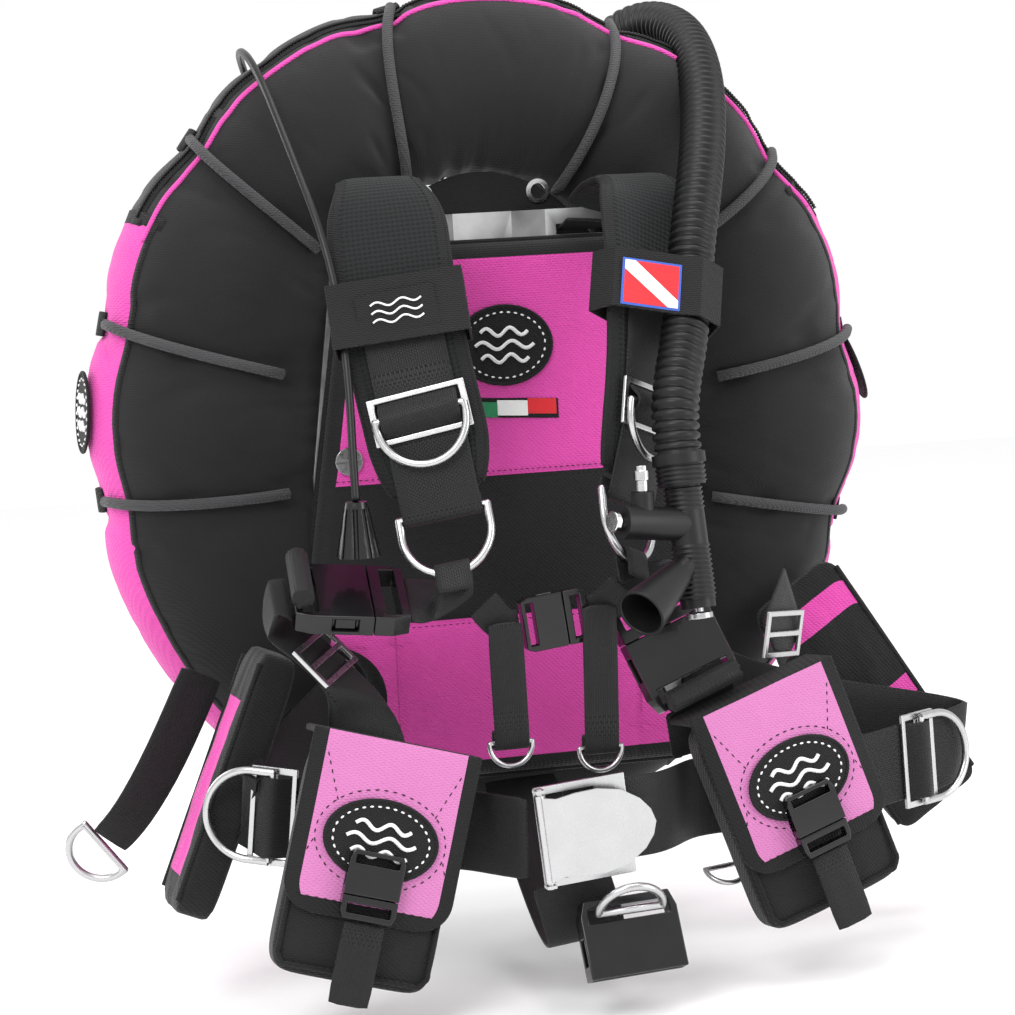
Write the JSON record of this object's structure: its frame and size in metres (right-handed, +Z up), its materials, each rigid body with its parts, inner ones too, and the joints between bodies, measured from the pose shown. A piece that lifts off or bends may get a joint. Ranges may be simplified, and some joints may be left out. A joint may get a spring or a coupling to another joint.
{
  "type": "buoyancy compensator vest",
  "caption": "Back-inflate diving harness with a ring-shaped wing, steel backplate, padded straps, inflator hose, dump valve and waist pockets.",
  "frame": {"origin": "middle of the two tank bolt holes, on the back face of the backplate's channel", "axes": "+Z up along the wearer's spine, -Y away from the tank through the wearer's front, +X to the right as seen from the front"},
  "size_m": [0.6235, 0.3593, 0.6146],
  "materials": {
    "backpad": "cloth over foam",
    "backpad_screws": "polished",
    "backplate": "brushed",
    "bungee_cords": "braided",
    "bungee_loops": "webbing",
    "chest_female": "moulded",
    "chest_male": "moulded",
    "chest_strap_l": "woven",
    "chest_strap_r": "woven",
    "crotch_buckle": "moulded",
    "crotch_dring": "polished stainless",
    "crotch_strap": "woven",
    "deflate_button": "bright",
    "dump_cord": "woven",
    "dump_knob": "moulded",
    "dump_valve_body": "moulded",
    "dump_valve_seal": "matte",
    "end_dring": "polished stainless",
    "hose_clamps": "polished stainless",
    "hose_elbow": "moulded",
    "inflate_button": "bright",
    "inflator_body": "moulded",
    "inflator_hose": "matte",
    "inflator_nipple": "bright",
    "link_webbing_l": "woven",
    "link_webbing_r": "woven",
    "lower_rings": "polished stainless",
    "lower_webbing_l": "woven",
    "lower_webbing_r": "woven",
    "mouthpiece": "matte",
    "pocket_bags": "woven",
    "pocket_females": "moulded",
    "pocket_flaps": "cloth with black binding",
    "pocket_male_l": "moulded",
    "pocket_male_r": "moulded",
    "pocket_strap_l": "woven",
    "pocket_strap_r": "woven",
    "shoulder_dring_l": "polished stainless",
    "shoulder_dring_r": "polished stainless",
    "shoulder_female_l": "moulded",
    "shoulder_female_r": "moulded",
    "shoulder_male_l": "moulded",
    "shoulder_male_r": "moulded",
    "shoulder_pads": "mesh over foam",
    "shoulder_webbing": "webbing",
    "side_pockets": "woven",
    "strap_sleeves": "woven",
    "tail_dring_l": "polished stainless",
    "tail_dring_r": "polished stainless",
    "waist_belt": "woven",
    "waist_buckle_frame": "polished stainless",
    "waist_buckle_latch": "polished stainless",
    "waist_buckle_pin": "polished stainless",
    "waist_dring_l": "polished stainless",
    "waist_dring_r": "polished stainless",
    "webbing_slides": "polished stainless",
    "wing_bladder": "thin coated film",
    "wing_center_panel": "matte",
    "wing_grommets": "plain",
    "wing_shell": "matte nylon over the bladder"
  },
  "bodies": {
    "vest": {"backpad": "backpad", "backpad_screws": "backpad_screws", "backplate": "backplate", "bungee_cords": "bungee_cords", "bungee_loops": "bungee_loops", "chest_female": "chest_female", "chest_strap_l": "chest_strap_l", "chest_strap_r": "chest_strap_r", "crotch_buckle": "crotch_buckle", "crotch_strap": "crotch_strap", "dump_cord": "dump_cord", "dump_valve_body": "dump_valve_body", "hose_clamps": "hose_clamps", "hose_elbow": "hose_elbow", "inflator_body": "inflator_body", "inflator_hose": "inflator_hose", "inflator_nipple": "inflator_nipple", "link_webbing_l": "link_webbing_l", "link_webbing_r": "link_webbing_r", "lower_rings": "lower_rings", "lower_webbing_l": "lower_webbing_l", "lower_webbing_r": "lower_webbing_r", "mouthpiece": "mouthpiece", "pocket_bags": "pocket_bags", "pocket_females": "pocket_females", "pocket_flaps": "pocket_flaps", "shoulder_female_r": "shoulder_female_r", "shoulder_male_l": "shoulder_male_l", "shoulder_pads": "shoulder_pads", "shoulder_webbing": "shoulder_webbing", "side_pockets": "side_pockets", "strap_sleeves": "strap_sleeves", "waist_belt": "waist_belt", "waist_buckle_frame": "waist_buckle_frame", "waist_buckle_pin": "waist_buckle_pin", "webbing_slides": "webbing_slides", "wing_bladder": "wing_bladder", "wing_center_panel": "wing_center_panel", "wing_grommets": "wing_grommets", "wing_shell": "wing_shell"},
    "waist_latch": {"waist_buckle_latch": "waist_buckle_latch"},
    "ring_shoulder_l": {"shoulder_dring_l": "shoulder_dring_l"},
    "ring_shoulder_r": {"shoulder_dring_r": "shoulder_dring_r"},
    "ring_waist_l": {"waist_dring_l": "waist_dring_l"},
    "ring_waist_r": {"waist_dring_r": "waist_dring_r"},
    "ring_tail_l": {"tail_dring_l": "tail_dring_l"},
    "ring_tail_r": {"tail_dring_r": "tail_dring_r"},
    "ring_end": {"end_dring": "end_dring"},
    "ring_crotch": {"crotch_dring": "crotch_dring"},
    "socket_shoulder_l": {"shoulder_female_l": "shoulder_female_l"},
    "plug_shoulder_r": {"shoulder_male_r": "shoulder_male_r"},
    "plug_chest": {"chest_male": "chest_male"},
    "plug_pocket_l": {"pocket_male_l": "pocket_male_l", "pocket_strap_l": "pocket_strap_l"},
    "plug_pocket_r": {"pocket_male_r": "pocket_male_r", "pocket_strap_r": "pocket_strap_r"},
    "button_inflate": {"inflate_button": "inflate_button"},
    "button_deflate": {"deflate_button": "deflate_button"},
    "pull_dump": {"dump_knob": "dump_knob"},
    "seal_dump": {"dump_valve_seal": "dump_valve_seal"}
  },
  "joints": [
    {"name": "waist_latch_hinge", "type": "hinge", "parent": "vest", "child": "waist_latch", "pos_m": [-0.03886, -0.2212, -0.19316], "axis": [0.0801, 0, -0.9968], "range_deg": [0, 100]},
    {"name": "ring_shoulder_l_swing", "type": "hinge", "parent": "vest", "child": "ring_shoulder_l", "pos_m": [-0.08561, -0.15202, 0.06525], "axis": [-0.9316, 0.3052, -0.1972], "range_deg": [0, 140]},
    {"name": "ring_shoulder_r_swing", "type": "hinge", "parent": "vest", "child": "ring_shoulder_r", "pos_m": [0.06637, -0.15118, 0.05759], "axis": [-0.7406, -0.6109, 0.2798], "range_deg": [0, 9]},
    {"name": "ring_waist_l_swing", "type": "hinge", "parent": "vest", "child": "ring_waist_l", "pos_m": [-0.1895, -0.13495, -0.179], "axis": [0.1041, -0.0612, 0.9927], "range_deg": [0, 70]},
    {"name": "ring_waist_r_swing", "type": "hinge", "parent": "vest", "child": "ring_waist_r", "pos_m": [0.24898, -0.11823, -0.186], "axis": [0.0362, 0.0173, -0.9992], "range_deg": [0, 70]},
    {"name": "ring_tail_l_swing", "type": "hinge", "parent": "vest", "child": "ring_tail_l", "pos_m": [-0.043, -0.169, -0.141], "axis": [-1, 0, 0], "range_deg": [0, 75]},
    {"name": "ring_tail_r_swing", "type": "hinge", "parent": "vest", "child": "ring_tail_r", "pos_m": [0.014, -0.17, -0.149], "axis": [-1, 0, 0], "range_deg": [0, 75]},
    {"name": "ring_end_swing", "type": "hinge", "parent": "vest", "child": "ring_end", "pos_m": [-0.279, -0.032, -0.206], "axis": [-0.6017, -0.0212, 0.7984], "range_deg": [0, 60]},
    {"name": "ring_crotch_swing", "type": "hinge", "parent": "vest", "child": "ring_crotch", "pos_m": [0.012, -0.224, -0.241], "axis": [0.998, -0.0393, 0.0492], "range_deg": [0, 90]},
    {"name": "shoulder_socket_l_release", "type": "slide", "parent": "vest", "child": "socket_shoulder_l", "axis": [-0.9917, 0.1002, 0.0801], "range_m": [0, 0.021], "deforming": ["lower_webbing_l"]},
    {"name": "shoulder_plug_r_release", "type": "slide", "parent": "vest", "child": "plug_shoulder_r", "axis": [-0.3502, 0.2401, 0.9054], "range_m": [0, 0.021], "deforming": ["link_webbing_r"]},
    {"name": "chest_plug_release", "type": "slide", "parent": "vest", "child": "plug_chest", "axis": [0.9939, 0, 0.11], "range_m": [0, 0.016], "deforming": ["chest_strap_r"]},
    {"name": "pocket_plug_l_release", "type": "slide", "parent": "vest", "child": "plug_pocket_l", "axis": [-0.2788, -0.0814, -0.9569], "range_m": [0, 0.016]},
    {"name": "pocket_plug_r_release", "type": "slide", "parent": "vest", "child": "plug_pocket_r", "axis": [0.3171, -0.0493, -0.9471], "range_m": [0, 0.016]},
    {"name": "inflate_press", "type": "slide", "parent": "vest", "child": "button_inflate", "axis": [0.9457, 0.3018, -0.1207], "range_m": [0, 0.0028], "stiffness_N_per_m": 700, "springref_m": -0.001},
    {"name": "deflate_press", "type": "slide", "parent": "vest", "child": "button_deflate", "axis": [-0.0501, 0.1202, 0.9915], "range_m": [0, 0.0028], "stiffness_N_per_m": 700, "springref_m": -0.001},
    {"name": "dump_pull", "type": "slide", "parent": "vest", "child": "pull_dump", "axis": [0, -0.4983, -0.867], "range_m": [0, 0.008], "stiffness_N_per_m": 300, "springref_m": -0.002, "deforming": ["dump_cord"]},
    {"name": "dump_valve_lift", "type": "slide", "parent": "vest", "child": "seal_dump", "axis": [0, 1, 0], "range_m": [0, 0.008]}
  ],
  "couplings": [
    {"joint": "dump_valve_lift", "follows": "dump_pull", "ratio": 1}
  ]
}
